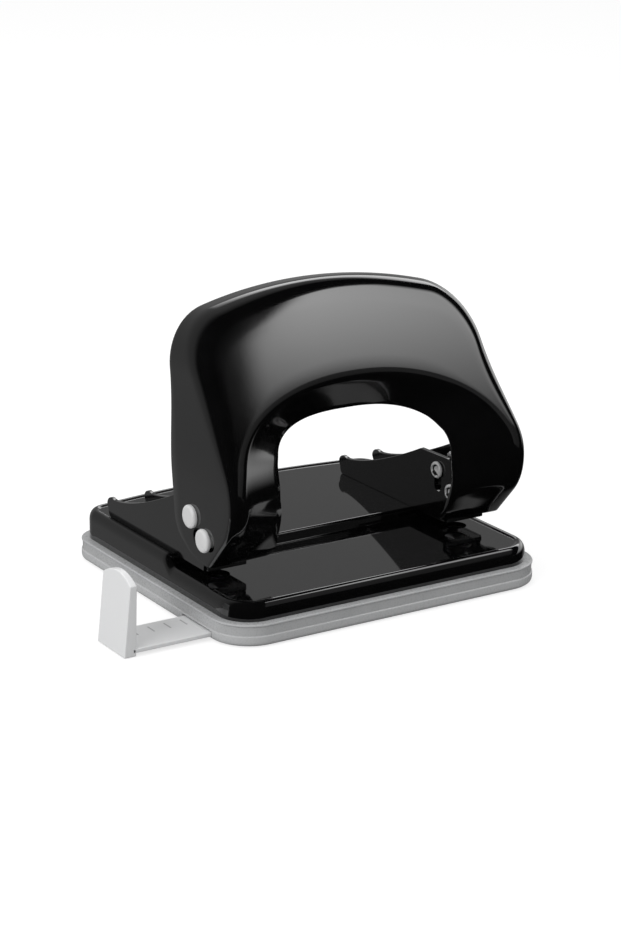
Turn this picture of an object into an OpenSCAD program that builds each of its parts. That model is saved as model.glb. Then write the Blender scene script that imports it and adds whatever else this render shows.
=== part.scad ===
// Two-hole desk punch: pressed steel base, arched lever, two punch brackets,
// chip tray and sliding paper guide.
// X runs along the pair of holes, Y from the sheet side to the rear, Z up.
// The origin is the middle of the footprint, on the table.

/* [Base plate] */
// Length of the black base along X
base_len = 100; // [99.8:0.2:110]
// Depth of the black base, without the bow of its rear edge
base_depth = 86.8; // [84:0.2:96]
// How far the rear edge bows outwards in the middle
rear_bow = 5; // [2:0.5:8]
// Radius of the two front corners
corner_front = 9.4; // [6:0.2:10]
// Radius of the two rear corners
corner_rear = 6.4; // [5:0.2:7.4]
// Thickness of the pressed sheet
sheet = 1.2; // [1:0.1:1.5]
// Height of the front panel, where the paper lies
front_z = 11.2; // [10.6:0.1:12]
// Height of the rear platform above the front panel, which is the paper throat
throat = 3.1; // [2.4:0.1:3.2]
// Height of the rounded rim above the panels
rim_rise = 0.45; // [0.2:0.05:0.8]
// Width from the outer edge to the crest of the rim
rim_w = 1.9; // [1.7:0.1:1.9]

/* [Punching] */
// Distance between the two holes
hole_pitch = 80; // [78:0.5:82]
// Diameter of a punched hole
pin_d = 6; // [5:0.1:6.4]
// Distance from the paper stop to the middle of a hole
margin = 12.5; // [11:0.1:13]
// Where the paper stop stands, measured from the middle of the base
stop_y = -4.6; // [-5.6:0.1:-3.6]
// How far the lever turns when it is pressed
press_deg = 44; // [38:1:45]

/* [Brackets] */
// Width of a punch bracket over its two walls
bracket_w = 13.6; // [13:0.1:15]
// Thickness of the bracket sheet
bracket_t = 1.4; // [1.2:0.1:1.6]
// How far the bracket wings reach back from the hole
wing_reach = 52; // [46:0.5:53]
// How far the bracket reaches in front of the hole
nose_reach = 10.6; // [10.2:0.1:10.8]
// Height of the bracket above its foot
bracket_h = 19.4; // [19:0.1:20]
// Height of the wing tips above the foot
wing_tip_h = 5.9; // [4.8:0.1:7]

/* [Rivets] */
// Height of the drive rivet above the rear platform
drive_h = 15; // [14.8:0.1:15.3]
// How far the pivot rivet lies in front of the drive rivet
pivot_ahead = 7; // [6.8:0.1:7.2]
// How far the pivot rivet lies below the drive rivet
pivot_below = 4.9; // [4.8:0.1:5.1]
// Diameter of the rivet shanks in the brackets
shank_d = 3.2; // [2.8:0.1:3.4]
// Diameter of the journals in the lever
journal_d = 4.8; // [4.2:0.1:5]
// Diameter of the rivet heads
rivet_head_d = 6.6; // [6:0.1:7]
// Height of the rivet heads
rivet_head_h = 1.3; // [1:0.1:1.6]
// Diameter of the rolled rivet tails
rivet_tail_d = 4.9; // [4.4:0.1:5.2]
// Height of the rolled rivet tails
rivet_tail_h = 1.1; // [0.8:0.1:1.2]

/* [Lever] */
// Thickness of the lever sheet
lever_t = 1.4; // [1.2:0.1:1.6]
// Height of the lever at rest
lever_top = 87.6; // [84:0.2:91]
// Height of the knee at the front of the legs
knee_z = 35.1; // [33.5:0.2:36.5]
// How far the corner of the knee stands in front of the hole
knee_ahead = 25.7; // [25:0.1:27]
// Radius of the knee
knee_r = 16; // [13:0.5:17]
// Lean of the lever face above the knee, from upright
face_lean = 35; // [33:0.5:37]
// Lean of the shins below the knee, from upright
shin_lean = 41.7; // [38:0.5:42]
// How much the legs draw in towards the top, on each side
leg_draw = 1.7; // [0.5:0.1:3]
// Radius of the two top corners
top_corner = 16; // [12:0.5:20]
// Radius of the crown of the top
top_crown = 144; // [120:4:200]
// Half width of the crease round the hand opening
crease_half = 44.3; // [42:0.1:44.6]
// Height of the crease at the top of the hand opening
crease_top = 63.3; // [60:0.5:65]
// Half width of the hand opening
window_half = 28.4; // [26:0.2:29.4]
// Height of the hand opening's upper edge
window_top = 52.9; // [51:0.5:55]
// Height at which the sides of the opening turn straight
spring_line = 39.3; // [38.5:0.5:41]

/* [Tray] */
// Height of the chip tray's outer wall
tray_h = 6.3; // [5.8:0.1:6.8]
// How far the tray stands out round the base
tray_proud = 2.4; // [1.8:0.1:2.6]
// Thickness of the tray floor
tray_floor = 0.8; // [0.6:0.1:1]
// Height of the lip inside the base
tray_lip = 0.9; // [0.6:0.1:1]

/* [Paper guide] */
// Width of the guide strip
guide_w = 15; // [12:0.5:16]
// Thickness of the guide strip
guide_t = 1.2; // [1:0.1:1.4]
// Middle of the strip, measured from the middle of the base
guide_y = -26.6; // [-28:0.1:-25]
// Distance from the middle of the sheet to the upright
guide_set = 75; // [66:1:90]
// Length of the strip from the upright inwards
guide_len = 99; // [90:1:99]
// Height of the upright
guide_h = 22; // [16:0.5:24]

/* [Springs] */
// Wire diameter of the return springs
wire_d = 0.9; // [0.8:0.05:1]
// Number of turns in a return spring
turns = 4.5; // [4:0.5:5]
// Outer diameter of a spring at its foot
spring_foot_d = 10.2; // [9.8:0.1:10.4]
// Outer diameter of a spring at its top
spring_top_d = 8.6; // [8.4:0.1:9]
// Thickness of the washer on a spring
washer_t = 0.6; // [0.5:0.1:0.8]

/* [Hidden] */
$fn = 48;

steel_black = [0.09, 0.09, 0.1];
bright = [0.8, 0.8, 0.82];
clear_grey = [0.8, 0.81, 0.82];

gap = 0.3;                 // clearance between parts that pass each other
run = 0.08;                // radial clearance of a running fit
over = 1;                  // how far a cutter passes through a wall

// Heights and places that several parts share
rear_z = front_z + throat;
hole_x = hole_pitch / 2;
hole_y = stop_y - margin;
web_top = rear_z + bracket_t;
drive_z = rear_z + drive_h;
pivot_y = hole_y - pivot_ahead;
pivot_z = drive_z - pivot_below;
// The lever slides on the pivot rivet, which pushes the drive rivet down by this much
stroke = pivot_below + pivot_ahead * tan(press_deg) - pivot_below / cos(press_deg);
pin_tip = rear_z + gap;
washer_z = drive_z - shank_d / 2 - washer_t;

// Lever planes beside the brackets
flange_in = hole_x + bracket_w / 2 + gap;
flange_out = flange_in + lever_t;

function smooth(t) = let (c = min(1, max(0, t))) c * c * (3 - 2 * c);
function unit(v) = v / norm(v);
function bend(a, b, c, t) = (1 - t) * (1 - t) * a + 2 * t * (1 - t) * b + t * t * c;

// ---------------------------------------------------------------- outlines

corner_steps = 6;
rear_steps = 14;

// Rear edge of the base at x, drawn in by d
function rear_edge(x, d) = base_depth / 2 - d + rear_bow * (1 - pow(x / (base_len / 2), 2));

// Plan of the base, drawn in by d (outwards where d is below 0)
function plan(d) =
    let (a = base_len / 2 - d, b = base_depth / 2 - d,
         rf = max(1, corner_front - d), rr = max(1, corner_rear - d),
         turn = 80, xr = a - rr + rr * cos(turn), yc = rear_edge(xr, d) - rr * sin(turn),
         side = [for (k = [0 : 8]) stop_y - 4 + k * 0.75])
    let (right = concat(
        [for (k = [0 : corner_steps]) let (t = -90 + 90 * k / corner_steps)
            [a - rf + rf * cos(t), -b + rf + rf * sin(t)]],
        [for (y = side) [a, y]],
        [for (k = [0 : corner_steps]) let (t = turn * k / corner_steps)
            [a - rr + rr * cos(t), yc + rr * sin(t)]]))
    concat(right,
        [for (k = [1 : rear_steps - 1]) let (x = xr * (1 - 2 * k / rear_steps)) [x, rear_edge(x, d)]],
        [for (k = [len(right) - 1 : -1 : 0]) [-right[k][0], right[k][1]]]);

// Closed ring skinned over loops of equal length, each loop a list of points
module ring_skin(loops) {
    m = len(loops);
    n = len(loops[0]);
    polyhedron(
        points = [for (loop = loops) for (p = loop) p],
        faces = [for (i = [0 : m - 1]) for (k = [0 : n - 1])
            let (a = i * n + k, b = i * n + (k + 1) % n,
                 c = ((i + 1) % m) * n + (k + 1) % n, d = ((i + 1) % m) * n + k)
            each [[a, c, b], [a, d, c]]]);
}

// ---------------------------------------------------------------- base plate

shoulder = 2.9;            // height of the rounded shoulder of the rim
panel_in = rim_w + 1.2;    // where the flat panel begins, from the outer edge

// Rim height at y: it climbs to the rear level beside the paper stop
function rim_z(y) = front_z + rim_rise + throat * smooth((y - stop_y + 3.4) / 4.6);
// Underside of the rim where it meets the panel, at half the panel's thickness
function under_rim(y) = (y < stop_y + sheet ? front_z : rear_z) - sheet / 2;

function rim_loop(d, z) = [for (p = plan(d)) [p[0], p[1], z(p[1])]];

module base_rim() {
    arc = [for (k = [1 : 3]) let (t = 90 * k / 4) [rim_w * (1 - cos(t)), shoulder * (1 - sin(t))]];
    ring_skin(concat(
        [rim_loop(0, function (y) tray_h)],
        [rim_loop(0, function (y) rim_z(y) - shoulder)],
        [for (s = arc) rim_loop(s[0], function (y) rim_z(y) - s[1])],
        [rim_loop(rim_w, function (y) rim_z(y))],
        [rim_loop(rim_w + 0.7, function (y) rim_z(y) - rim_rise / 4)],
        [rim_loop(panel_in, function (y) rim_z(y) - rim_rise - 0.05)],
        [rim_loop(panel_in, function (y) under_rim(y))],
        [for (t = [90, 60, 30, 0]) rim_loop(rim_w - (rim_w - sheet) * cos(t),
            function (y) min(rim_z(y) - shoulder + (shoulder - sheet) * sin(t), under_rim(y)))],
        [rim_loop(sheet, function (y) tray_h)]));
}

// Sheet inside the rim: front panel, paper stop and rear platform in one
module panels() {
    intersection() {
        upright(-base_len / 2, base_len)
            polygon([[-base_depth, front_z], [stop_y, front_z], [stop_y, rear_z], [base_depth, rear_z],
                     [base_depth, rear_z - sheet], [stop_y + sheet, rear_z - sheet],
                     [stop_y + sheet, front_z - sheet], [-base_depth, front_z - sheet]]);
        linear_extrude(rear_z + over) polygon(plan(panel_in - 0.25));
    }
}

fix_near = 9;              // first fixing rivet, from the stop
fix_far = 28;              // second fixing rivet, from the stop
fix_d = 3;

module base_plate() {
    color(steel_black)
        difference() {
            union() {
                base_rim();
                panels();
            }
            for (s = [-1, 1]) {
                translate([s * hole_x, hole_y, front_z - sheet - over])
                    cylinder(d = pin_d + 4 * run, h = sheet + 2 * over);
                for (y = [fix_near, fix_far])
                    translate([s * hole_x, stop_y + y, rear_z - sheet - over])
                        cylinder(d = fix_d, h = sheet + 2 * over);
            }
        }
}

// Hardened plate under the front panel, which cuts against the pin
die_t = 1.5;
die_d = 15;
die_inner = 8;             // how far it reaches inwards from the hole
die_gap = 0.8;             // clearance from the side wall of the base

module die_plate(s) {
    outer = base_len / 2 - sheet - die_gap - hole_x;
    color(bright)
        translate([s * hole_x, hole_y, front_z - sheet - die_t])
            difference() {
                translate([s > 0 ? -die_inner : -outer, -die_d / 2, 0])
                    cube([die_inner + outer, die_d, die_t]);
                translate([0, 0, -over]) cylinder(d = pin_d + 2 * run, h = die_t + 2 * over);
            }
}

// ---------------------------------------------------------------- brackets

tip_r = 2.3;               // rounded ear at the end of each wing
nose_r = 7;                // rounding of the bracket's upper front corner
chin_h = 2.7;              // height of its lower front corner above the foot
foot_r = 7;                // rounding of its lower front corner
web_front = 4.8;           // how far its foot reaches in front of the hole
crest_back = 9;            // how far behind the hole the crest begins to fall

// Side of a bracket wall, as [y, z] from the hole and the foot
function wall_side() =
    let (tip = wing_reach - 2 * tip_r, crest = bracket_h, fall = tip - crest_back)
    concat(
        [for (k = [0 : 6]) let (t = -90 + 90 * k / 6) [wing_reach - tip_r + tip_r * cos(t) * 0.6,
            tip_r + tip_r * sin(t)]],
        [for (k = [0 : 6]) let (t = 110 * k / 6) [wing_reach - tip_r * 1.1 + tip_r * cos(t),
            wing_tip_h - tip_r + tip_r * sin(t)]],
        [for (k = [0 : 12]) let (f = k / 12) [tip - fall * f,
            wing_tip_h - 0.3 + (crest - wing_tip_h) * pow(f, 1.4)]],
        [for (k = [0 : 8]) let (t = 90 + 90 * k / 8) [-nose_reach + nose_r + nose_r * cos(t),
            crest - nose_r + nose_r * sin(t)]],
        [for (k = [0 : 4]) let (t = 180 + 90 * k / 4) [-nose_reach + foot_r + foot_r * cos(t),
            chin_h + foot_r + foot_r * sin(t)]],
        [[-nose_reach + foot_r, 0]]);

// Lays a [y, z] outline upright and gives it a thickness along X, from x
module upright(x, thickness) {
    translate([x, 0, 0])
        rotate([90, 0, 90])
            linear_extrude(thickness)
                children();
}

module slot_cut(x, length, y0, y1, z0, z1, d) {
    for (e = [[y0, z0], [y1, z1]])
        translate([x, e[0], e[1]]) rotate([0, 90, 0]) cylinder(d = d, h = length);
    translate([x, min(y0, y1) - (z0 == z1 ? 0 : d / 2), min(z0, z1) - (z0 == z1 ? d / 2 : 0)])
        cube([length, z0 == z1 ? abs(y1 - y0) : d, z0 == z1 ? d : abs(z1 - z0)]);
}

module bracket(s) {
    reach = bracket_w + 2 * over;
    color(steel_black)
        translate([s * hole_x, hole_y, rear_z])
            difference() {
                union() {
                    for (x = [-bracket_w / 2, bracket_w / 2 - bracket_t])
                        upright(x, bracket_t) polygon(wall_side());
                    translate([-bracket_w / 2 + bracket_t / 2, -web_front, 0])
                        cube([bracket_w - bracket_t, web_front + wing_reach - 2 * tip_r, bracket_t]);
                }
                translate([0, 0, -over]) cylinder(d = pin_d + 2 * run, h = bracket_t + 2 * over);
                translate([-reach / 2, -pivot_ahead, drive_h - pivot_below])
                    rotate([0, 90, 0]) cylinder(d = shank_d, h = reach);
                slot_cut(-reach / 2, reach, 0, 0, drive_h - stroke, drive_h, shank_d + 2 * run);
                for (y = [fix_near, fix_far])
                    translate([0, margin + y, -over]) cylinder(d = fix_d, h = bracket_t + 2 * over);
            }
}

module fixing_rivets(s) {
    color(steel_black)
        for (y = [fix_near, fix_far])
            translate([s * hole_x, stop_y + y, rear_z])
                rotate_extrude()
                    polygon([[0, -sheet - 0.8], [fix_d * 0.8, -sheet - 0.8], [fix_d * 0.8, -sheet],
                             [fix_d / 2, -sheet], [fix_d / 2, bracket_t], [fix_d * 0.9, bracket_t],
                             [fix_d * 0.75, bracket_t + 0.7], [fix_d * 0.3, bracket_t + 1],
                             [0, bracket_t + 1]]);
}

// ---------------------------------------------------------------- rivets, pins and springs

// Rivet from the outer face of the lever to the inner face of the bracket, head outwards
module cross_rivet() {
    journal = lever_t + gap;
    grip = journal + bracket_w;
    color(bright)
        rotate_extrude()
            polygon(concat(
                [[0, -run - rivet_head_h]],
                [for (k = [0 : 5]) let (t = 90 * k / 5)
                    [rivet_head_d / 2 - 1 + sin(t), -run - rivet_head_h + 1 - cos(t)]],
                [[rivet_head_d / 2, -run], [journal_d / 2, -run], [journal_d / 2, journal - run],
                 [shank_d / 2, journal - run], [shank_d / 2, grip + 0.02],
                 [rivet_tail_d / 2 - 0.3, grip + 0.02], [rivet_tail_d / 2, grip + rivet_tail_h / 2],
                 [rivet_tail_d / 2 - 0.5, grip + rivet_tail_h],
                 [rivet_tail_d / 2 - 1.2, grip + rivet_tail_h * 0.8],
                 [shank_d / 2 - 0.7, grip - 2], [0, grip - 2.3]]));
}

module rivet_at(s, y, z) {
    translate([s * flange_out, y, z])
        rotate([0, -s * 90, 0])
            cross_rivet();
}

module punch_pin(s) {
    top = drive_z + shank_d / 2 + 2.4;
    chamfer = 0.5;
    color(bright)
        translate([s * hole_x, hole_y, 0])
            difference() {
                rotate_extrude()
                    polygon([[0, pin_tip + 0.9], [pin_d / 2 - 0.15, pin_tip], [pin_d / 2, pin_tip],
                             [pin_d / 2, top - chamfer], [pin_d / 2 - chamfer, top], [0, top]]);
                translate([-pin_d, 0, drive_z])
                    rotate([0, 90, 0]) cylinder(d = shank_d, h = 2 * pin_d);
            }
}

module spring_washer(s) {
    color(bright)
        translate([s * hole_x, hole_y, washer_z])
            difference() {
                cylinder(d = spring_top_d, h = washer_t);
                translate([0, 0, -over]) cylinder(d = pin_d, h = washer_t + 2 * over);
            }
}

wire_sides = 8;
coil_steps = 18;           // rings in one turn of wire

// One unbroken conical coil, swept along a helix that lies flat at both ends
module return_spring(s) {
    low = web_top + wire_d / 2;
    high = washer_z - wire_d / 2;
    n = round(turns * coil_steps);
    climb = function (f) let (e = 0.5 / turns) smooth((f - e / 2) / (1 - e));
    centre = [for (i = [0 : n]) let (f = i / n, t = 360 * turns * f,
        r = (spring_foot_d + (spring_top_d - spring_foot_d) * f - wire_d) / 2)
        [r * cos(t), r * sin(t), low + (high - low) * climb(f)]];
    rings = [for (i = [0 : n]) let (t = 360 * turns * i / n, out = [cos(t), sin(t), 0])
        [for (k = [0 : wire_sides - 1]) let (q = 360 * (k + 0.5) / wire_sides)
            centre[i] + wire_d / 2 / cos(180 / wire_sides) * (out * cos(q) + [0, 0, sin(q)])]];
    color(bright)
        translate([s * hole_x, hole_y, 0])
            polyhedron(
                points = [for (r = rings) for (p = r) p],
                faces = concat(
                    [[for (k = [0 : wire_sides - 1]) k]],
                    [for (i = [0 : n - 1]) for (k = [0 : wire_sides - 1])
                        let (a = i * wire_sides + k, b = i * wire_sides + (k + 1) % wire_sides)
                        each [[a, a + wire_sides, b], [b, a + wire_sides, b + wire_sides]]],
                    [[for (k = [wire_sides - 1 : -1 : 0]) n * wire_sides + k]]));
}

// ---------------------------------------------------------------- lever

// Side profile of the lever front: face, knee arc and shin
half_turn = (face_lean + shin_lean) / 2;
knee_tangent = knee_r * tan(half_turn);
knee_y = hole_y - knee_ahead;
face_start = knee_z + knee_tangent * cos(face_lean);
shin_end = knee_z - knee_tangent * cos(shin_lean);
arc_y = knee_y + knee_tangent * sin(face_lean) + knee_r * cos(face_lean);
arc_z = face_start - knee_r * sin(face_lean);
function front_y(z) =
    z > face_start ? knee_y + (z - knee_z) * tan(face_lean)
    : z < shin_end ? knee_y + (knee_z - z) * tan(shin_lean)
    : arc_y - sqrt(knee_r * knee_r - (z - arc_z) * (z - arc_z));

leg_clear = 3;             // height of the legs above the rear platform
leg_foot = rear_z + leg_clear;
crown_h = 22;              // height of the top of the flanges, where they run forwards
heel_r = 9.3;              // rounding of the flange behind the drive rivet
// Rear edge of the side flanges
function heel_y(z) =
    z > drive_z ? hole_y + heel_r + (z - drive_z) * 0.13
        + pow(max(0, z - lever_top + crown_h) / crown_h, 2) * 3
    : z > drive_z - heel_r + 0.4 ? hole_y + sqrt(heel_r * heel_r - pow(z - drive_z, 2))
    : hole_y + 2.7 - 10 * pow((drive_z - heel_r + 0.4 - z) / (drive_z - heel_r + 0.4 - leg_foot), 2);

// Depth of the lip behind the face at the edge of the hand opening
function lip_depth(z) = lookup(z, [[leg_foot, 1.2], [leg_foot + 2.6, 1.2], [leg_foot + 5.6, 3],
    [leg_foot + 9.6, 5.2], [leg_foot + 17.6, 8.2], [spring_line + 6, 8.8], [window_top, 12.4]]);

// Distances from the middle of the spring line, at angle t above it
function oval(t, half, rise, power) =
    pow(pow(cos(t) / half, power) + pow(sin(t) / rise, power), -1 / power);
function ray_circle(t, cx, cz, r) =
    let (b = cx * cos(t) + cz * sin(t)) b + sqrt(b * b - cx * cx - cz * cz + r * r);
side_in = flange_out - leg_draw;
corner_x = side_in - top_corner;
crown_c = lever_top - spring_line - top_crown;
corner_z = crown_c + sqrt(pow(top_crown - top_corner, 2) - corner_x * corner_x);
crown_join = atan2(crown_c + (corner_z - crown_c) * top_crown / (top_crown - top_corner),
                   corner_x * top_crown / (top_crown - top_corner));
side_join = atan2(corner_z, side_in);
function outer(t) =
    t > crown_join ? ray_circle(t, 0, crown_c, top_crown)
    : t > side_join ? ray_circle(t, corner_x, corner_z, top_corner)
    : (flange_out - leg_draw * smooth(t / side_join)) / cos(t);

// Cross-section from the flange's rear edge round the fold and the crease to the lip edge
fold_steps = 5;
crease_steps = 3;
function section(a, b, c, d, fold, crease) = concat(
    [a],
    [for (k = [0 : fold_steps]) bend(b + unit(a - b) * fold, b, b + unit(c - b) * fold, k / fold_steps)],
    [for (k = [0 : crease_steps])
        bend(c + unit(b - c) * crease, c, c + unit(d - c) * crease, k / crease_steps)],
    [d]);

crease_r = 1.8;
leg_fold = min(2.6, flange_out - crease_half - crease_r - 0.2);

function leg_row(z) = section(
    [flange_out, heel_y(z), z],
    [flange_out, front_y(z), z],
    [crease_half, front_y(z), z],
    [window_half, front_y(z) + lip_depth(z), z],
    leg_fold, crease_r);

function arch_row(t) =
    let (ro = outer(t), rc = oval(t, crease_half, crease_top - spring_line, 2.15),
         rw = oval(t, window_half, window_top - spring_line, 2.6), dir = [cos(t), sin(t)],
         b = ro * dir, a = b - [0, 1.4 * sin(t)], c = rc * dir, d = rw * dir,
         zb = spring_line + b[1], za = spring_line + a[1], zc = spring_line + c[1], zd = spring_line + d[1])
    section(
        [a[0], heel_y(zb), za],
        [b[0], front_y(zb), zb],
        [c[0], front_y(zc), zc],
        [d[0], front_y(zd) + lip_depth(zd), zd],
        leg_fold + 4 * smooth(t / 30) * (1 - 0.5 * smooth((t - 45) / 45)), crease_r);

leg_steps = 9;
arch_steps = 20;

function half_rows() = concat(
    [for (k = [0 : leg_steps - 1]) leg_row(leg_foot + (spring_line - leg_foot) * pow(k / leg_steps, 1.25))],
    [for (k = [0 : arch_steps]) arch_row(90 * k / arch_steps)]);

module lever_shell() {
    right = half_rows();
    half = len(right);
    outer_rows = concat(right, [for (i = [half - 2 : -1 : 0]) [for (p = right[i]) [-p[0], p[1], p[2]]]]);
    n = len(outer_rows);
    m = len(outer_rows[0]);
    inner_rows = [for (i = [0 : n - 1]) [for (j = [0 : m - 1])
        let (du = outer_rows[min(i + 1, n - 1)][j] - outer_rows[max(i - 1, 0)][j],
             dv = outer_rows[i][min(j + 1, m - 1)] - outer_rows[i][max(j - 1, 0)])
        outer_rows[i][j] - lever_t * unit(cross(du, dv))]];
    skin = n * m;
    polyhedron(
        points = [for (rows = [inner_rows, outer_rows]) for (r = rows) for (p = r) p],
        faces = concat(
            [for (i = [0 : n - 2]) for (j = [0 : m - 2]) let (a = i * m + j, b = a + 1, c = a + m, d = c + 1)
                each [[a, b, c], [b, d, c], [skin + a, skin + c, skin + b], [skin + b, skin + c, skin + d]]],
            [for (i = [0 : n - 2]) let (a = i * m, b = a + m)
                each [[a, b, skin + a], [b, skin + b, skin + a]]],
            [for (i = [0 : n - 2]) let (a = i * m + m - 1, b = a + m)
                each [[a, skin + a, b], [b, skin + a, skin + b]]],
            [for (j = [0 : m - 2]) each [[j, skin + j, j + 1], [j + 1, skin + j, skin + j + 1]]],
            [for (j = [0 : m - 2]) let (a = (n - 1) * m + j)
                each [[a, a + 1, skin + a], [a + 1, skin + a + 1, skin + a]]]));
}

slot_front = pivot_ahead + 2.6;   // ends of the pivot slot, in front of the drive rivet
slot_rear = pivot_ahead - 3.5;

module lever() {
    wide = 2 * flange_out + 2 * over;
    color(steel_black)
        difference() {
            lever_shell();
            translate([-wide / 2, hole_y, drive_z])
                rotate([0, 90, 0]) cylinder(d = journal_d + 2 * run, h = wide);
            slot_cut(-wide / 2, wide, hole_y - slot_front, hole_y - slot_rear, pivot_z, pivot_z,
                     journal_d + 2 * run + 0.1);
        }
}

// ---------------------------------------------------------------- tray and guide

tray_wall = 2;             // thickness of the tray's outer wall at the top
lip_in = sheet + gap;      // the lip stands inside the base's skirt
lip_t = 1;
rail_w = 1.2;
rail_h = guide_t + 0.6;
strip_z = tray_floor + 0.1;

function flat_loop(d, z) = [for (p = plan(d)) [p[0], p[1], z]];

module chip_tray() {
    band = tray_h * 0.48;
    inside = base_len / 2 - lip_in - lip_t;
    color(clear_grey)
        difference() {
            union() {
                ring_skin([
                    flat_loop(-tray_proud + 1.2, 0), flat_loop(-tray_proud + 0.3, 0.4),
                    flat_loop(-tray_proud, 1.3), flat_loop(-tray_proud, band - 0.2),
                    flat_loop(-tray_proud + 0.25, band), flat_loop(-tray_proud, band + 0.2),
                    flat_loop(-tray_proud, tray_h - 0.3), flat_loop(-tray_proud + 0.3, tray_h),
                    flat_loop(lip_in, tray_h), flat_loop(lip_in + 0.1, tray_h + tray_lip),
                    flat_loop(lip_in + lip_t, tray_h + tray_lip), flat_loop(lip_in + lip_t, tray_h - 1.2),
                    flat_loop(tray_wall - tray_proud, tray_h - 1.2), flat_loop(tray_wall - tray_proud, 0)]);
                linear_extrude(tray_floor) polygon(plan(tray_wall - tray_proud - 0.3));
                for (e = [-1, 1])
                    translate([-inside, guide_y + e * (guide_w / 2 + gap + rail_w / 2) - rail_w / 2, 0])
                        cube([1.6 * inside, rail_w, tray_floor + rail_h]);
            }
            translate([-base_len / 2 - tray_proud - over, guide_y - guide_w / 2 - gap, tray_floor])
                cube([tray_proud + lip_in + lip_t + 2 * over, guide_w + 2 * gap, guide_t + 2 * gap]);
        }
}

module paper_guide() {
    lean = 2.2;            // how far the outer face leans in towards the top
    thick = 1.9;
    foot_out = 3.6;
    lift = 2.4;            // how much higher the top is in the middle
    color("whitesmoke")
        union() {
            translate([-guide_set - 1, guide_y - guide_w / 2, strip_z])
                cube([guide_len + 1, guide_w, guide_t]);
            intersection() {
                translate([-guide_set, guide_y + guide_w / 2, 0])
                    rotate([90, 0, 0])
                        linear_extrude(guide_w)
                            polygon([[0, 0], [-foot_out, 0], [lean - foot_out, guide_h],
                                     [lean - foot_out + thick, guide_h]]);
                upright(-guide_set - foot_out, foot_out + over)
                    translate([guide_y, 0])
                        polygon(concat([[-guide_w / 2, 0], [guide_w / 2, 0]],
                            [for (k = [0 : 12]) let (f = 1 - 2 * k / 12)
                                [f * guide_w / 2, guide_h - lift * f * f]]));
            }
        }
}

// ---------------------------------------------------------------- assembly

base_plate();
die_plate(-1);  // left_die_plate
die_plate(1);  // right_die_plate
bracket(-1);  // left_bracket
bracket(1);  // right_bracket
fixing_rivets(-1);  // left_fixing_rivets
fixing_rivets(1);  // right_fixing_rivets
rivet_at(-1, pivot_y, pivot_z);  // left_pivot_rivet
rivet_at(1, pivot_y, pivot_z);  // right_pivot_rivet
rivet_at(-1, hole_y, drive_z);  // left_drive_rivet
rivet_at(1, hole_y, drive_z);  // right_drive_rivet
punch_pin(-1);  // left_punch_pin
punch_pin(1);  // right_punch_pin
spring_washer(-1);  // left_spring_washer
spring_washer(1);  // right_spring_washer
return_spring(-1);  // left_return_spring
return_spring(1);  // right_return_spring
lever();
chip_tray();
paper_guide();
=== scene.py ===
import math

import bpy
from mathutils import Matrix, Vector


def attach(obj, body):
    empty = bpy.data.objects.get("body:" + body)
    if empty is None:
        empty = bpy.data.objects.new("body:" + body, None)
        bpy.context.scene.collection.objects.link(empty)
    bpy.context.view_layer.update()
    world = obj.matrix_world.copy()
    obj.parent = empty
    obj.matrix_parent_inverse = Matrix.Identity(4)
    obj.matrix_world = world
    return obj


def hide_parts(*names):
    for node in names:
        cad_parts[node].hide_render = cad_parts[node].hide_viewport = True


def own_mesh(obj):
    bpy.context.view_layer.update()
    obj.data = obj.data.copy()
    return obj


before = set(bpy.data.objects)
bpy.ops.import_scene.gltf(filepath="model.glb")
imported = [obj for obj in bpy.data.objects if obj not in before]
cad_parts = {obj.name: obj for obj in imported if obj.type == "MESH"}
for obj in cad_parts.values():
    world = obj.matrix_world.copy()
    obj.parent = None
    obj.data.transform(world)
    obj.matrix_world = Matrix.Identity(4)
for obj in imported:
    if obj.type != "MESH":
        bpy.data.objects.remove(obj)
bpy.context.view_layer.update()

mm = 0.001


# small helpers for the work in object and edit mode

meshGaps = {"weld": 0.004, "sliver": 0.002}  # points and edges nearer than this are merged, in mm


def clearSelection():
    if bpy.context.object and bpy.context.object.mode == "EDIT":
        bpy.ops.object.mode_set(mode="OBJECT")
    bpy.ops.object.select_all(action="DESELECT")


def activate(piece):
    clearSelection()
    piece.select_set(True)
    bpy.context.view_layer.objects.active = piece


def modify(piece, kind, **values):
    activate(piece)
    bpy.ops.object.modifier_add(type=kind)
    modifier = piece.modifiers[-1]
    for key, value in values.items():
        setattr(modifier, key, value)
    bpy.ops.object.modifier_apply(modifier=modifier.name)


def tidyShell(piece, outwards=True):  # closes seams and poles, and turns the faces out
    activate(piece)
    bpy.ops.object.mode_set(mode="EDIT")
    bpy.ops.mesh.select_all(action="SELECT")
    bpy.ops.mesh.remove_doubles(threshold=meshGaps["weld"] * mm)
    bpy.ops.mesh.dissolve_degenerate(threshold=meshGaps["sliver"] * mm)
    if outwards:
        bpy.ops.mesh.select_all(action="SELECT")
        bpy.ops.mesh.normals_make_consistent(inside=False)
    bpy.ops.object.mode_set(mode="OBJECT")


def flipFaces(piece):
    activate(piece)
    bpy.ops.object.mode_set(mode="EDIT")
    bpy.ops.mesh.select_all(action="SELECT")
    bpy.ops.mesh.flip_normals()
    bpy.ops.object.mode_set(mode="OBJECT")


def placePoints(piece, points):
    flat = [c * mm for point in points for c in point]
    piece.data.vertices.foreach_set("co", flat)
    piece.data.update()


def loftGrid(name, rows, outwards=True):  # a grid primitive drawn over rows of points, in mm
    clearSelection()
    bpy.ops.mesh.primitive_grid_add(x_subdivisions=len(rows[0]) - 1, y_subdivisions=len(rows) - 1, size=1)
    piece = bpy.context.object
    piece.name = name
    placePoints(piece, [point for row in rows for point in row])
    tidyShell(piece, outwards)
    return piece


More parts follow.
